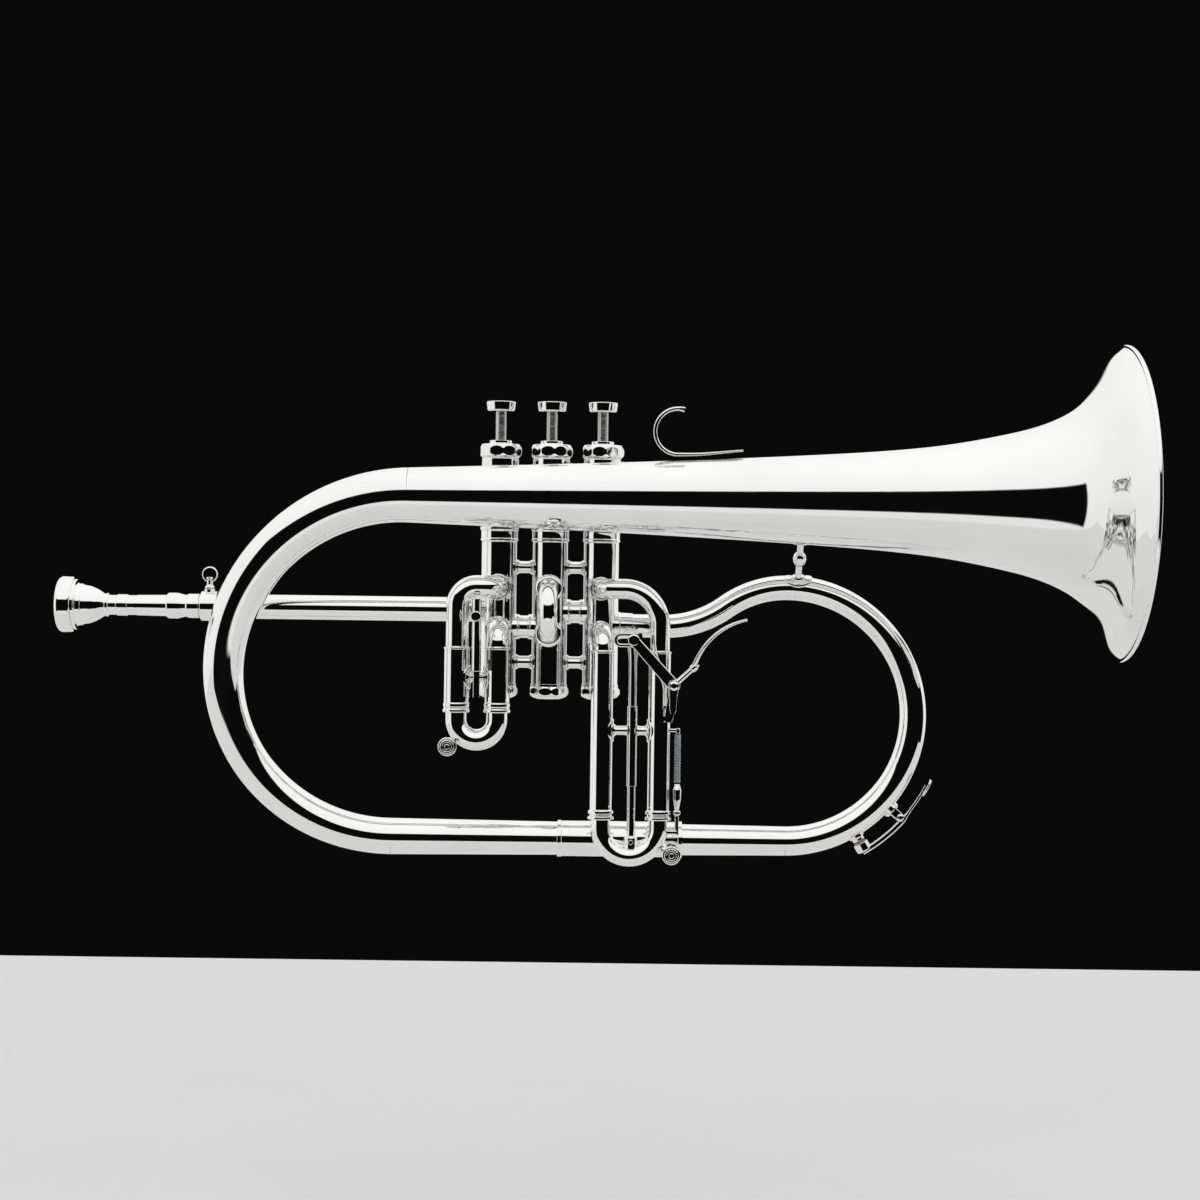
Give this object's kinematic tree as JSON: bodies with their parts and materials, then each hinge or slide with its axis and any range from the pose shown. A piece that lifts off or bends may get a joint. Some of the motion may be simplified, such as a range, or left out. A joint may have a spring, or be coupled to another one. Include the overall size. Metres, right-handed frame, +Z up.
{
  "type": "flugelhorn",
  "caption": "Silver-plated valved horn with a conical bell, three piston valves, trigger-driven third slide, water keys, finger hook and mouthpiece.",
  "frame": {"origin": "second valve's axis, at the height of the leadpipe's axis", "axes": "+X towards the bell mouth, +Z up along the valves towards the buttons, -Y towards the side of the three slides"},
  "size_m": [0.5159, 0.1524, 0.2538],
  "materials": {
    "silver_plate": "brass sheet with polished silver plate, mirror bright",
    "silver_fittings": "turned brass fittings with polished silver plate",
    "piston_metal": "fine-ground nickel alloy",
    "spring_steel": "drawn spring wire",
    "guide_plastic": "moulded white plastic",
    "cork": "natural cork, cut and sanded"
  },
  "bodies": {
    "horn": {"bell": "silver_plate", "bell_bow": "silver_plate", "bell_stay": "silver_fittings", "bottom_caps": "silver_fittings", "bottom_sleeve": "silver_plate", "bottom_tube": "silver_plate", "casing_1": "silver_plate", "casing_2": "silver_plate", "casing_3": "silver_plate", "casing_braces": "silver_fittings", "clamp_collar": "silver_fittings", "exit_branch": "silver_plate", "exit_ferrule": "silver_plate", "finger_hook": "silver_fittings", "first_slide_outer": "silver_plate", "key_nipple": "silver_fittings", "key_saddle": "silver_fittings", "leadpipe": "silver_plate", "link_tubes": "silver_plate", "lower_bow": "silver_plate", "lyre_holder": "silver_fittings", "pivot_screws": "silver_fittings", "push_rod_guide": "silver_fittings", "return_spring": "spring_steel", "second_slide_outer": "silver_plate", "slide_braces": "silver_fittings", "spring_anchor": "silver_fittings", "third_slide_outer": "silver_plate", "top_caps": "silver_fittings", "trigger_bracket": "silver_fittings", "valve_guides": "guide_plastic", "valve_spring_1": "spring_steel", "valve_spring_2": "spring_steel", "valve_spring_3": "spring_steel"},
    "valve_1": {"piston_1": "piston_metal", "stem_1": "silver_fittings", "button_1": "silver_fittings"},
    "valve_2": {"piston_2": "piston_metal", "stem_2": "silver_fittings", "button_2": "silver_fittings"},
    "valve_3": {"piston_3": "piston_metal", "stem_3": "silver_fittings", "button_3": "silver_fittings"},
    "first_slide": {"first_slide": "silver_plate", "first_key_body": "silver_fittings"},
    "first_key": {"first_key_button": "silver_fittings"},
    "second_slide": {"second_slide": "silver_plate"},
    "third_slide": {"third_slide": "silver_plate", "push_rod": "silver_fittings", "third_key_body": "silver_fittings", "spring_hook": "silver_fittings"},
    "third_key": {"third_key_button": "silver_fittings"},
    "trigger": {"trigger_lever": "silver_fittings"},
    "mouthpipe": {"mouthpipe": "silver_plate", "receiver": "silver_fittings"},
    "mouthpiece": {"mouthpiece": "silver_fittings"},
    "clamp_screw": {"clamp_screw": "silver_fittings"},
    "lyre_screw": {"lyre_screw": "silver_fittings"},
    "water_key": {"key_lever": "silver_fittings", "key_cork": "cork"}
  },
  "joints": [
    {"name": "valve_1_press", "type": "slide", "parent": "horn", "child": "valve_1", "axis": [0, 0, -1], "range_m": [0, 0.014], "stiffness_N_per_m": 150, "springref_m": -0.02, "deforming": ["valve_spring_1"]},
    {"name": "valve_2_press", "type": "slide", "parent": "horn", "child": "valve_2", "axis": [0, 0, -1], "range_m": [0, 0.014], "stiffness_N_per_m": 150, "springref_m": -0.02, "deforming": ["valve_spring_2"]},
    {"name": "valve_3_press", "type": "slide", "parent": "horn", "child": "valve_3", "axis": [0, 0, -1], "range_m": [0, 0.014], "stiffness_N_per_m": 150, "springref_m": -0.02, "deforming": ["valve_spring_3"]},
    {"name": "first_slide_pull", "type": "slide", "parent": "horn", "child": "first_slide", "axis": [0, 0, -1], "range_m": [0, 0.02]},
    {"name": "first_key_push", "type": "slide", "parent": "first_slide", "child": "first_key", "axis": [0, 1, 0], "range_m": [0, 0.002], "stiffness_N_per_m": 400, "springref_m": -0.003},
    {"name": "second_slide_pull", "type": "slide", "parent": "horn", "child": "second_slide", "axis": [0, -1, 0], "range_m": [0, 0.011]},
    {"name": "trigger_squeeze", "type": "hinge", "parent": "horn", "child": "trigger", "pos_m": [0.0606, -0.028, -0.0351], "axis": [0, -1, 0], "range_deg": [0, 25.2]},
    {"name": "third_slide_push", "type": "slide", "parent": "horn", "child": "third_slide", "axis": [0, 0, -1], "range_m": [0, 0.0102], "stiffness_N_per_m": 100, "springref_m": -0.012, "deforming": ["return_spring"]},
    {"name": "third_key_push", "type": "slide", "parent": "third_slide", "child": "third_key", "axis": [0, 1, 0], "range_m": [0, 0.002], "stiffness_N_per_m": 400, "springref_m": -0.003},
    {"name": "mouthpipe_tune", "type": "slide", "parent": "horn", "child": "mouthpipe", "axis": [-1, 0, 0], "range_m": [0, 0.015]},
    {"name": "mouthpiece_pull", "type": "slide", "parent": "mouthpipe", "child": "mouthpiece", "axis": [-1, 0, 0], "range_m": [0, 0.012]},
    {"name": "clamp_turn", "type": "hinge", "parent": "horn", "child": "clamp_screw", "pos_m": [-0.1674, 0, 0.012], "axis": [0, 0, 1], "range_deg": [0, 180]},
    {"name": "lyre_screw_turn", "type": "hinge", "parent": "horn", "child": "lyre_screw", "pos_m": [-0.03425, -0.0324, -0.003], "axis": [0, -1, 0], "range_deg": [0, 360]},
    {"name": "water_key_press", "type": "hinge", "parent": "horn", "child": "water_key", "pos_m": [0.17341, 0, -0.09933], "axis": [0, -1, 0], "range_deg": [0, 7], "stiffness_Nm_per_rad": 0.06, "springref_deg": -34.38}
  ],
  "couplings": [
    {"joint": "trigger_squeeze", "follows": "third_slide_push", "rad_per_m": 42.778}
  ]
}
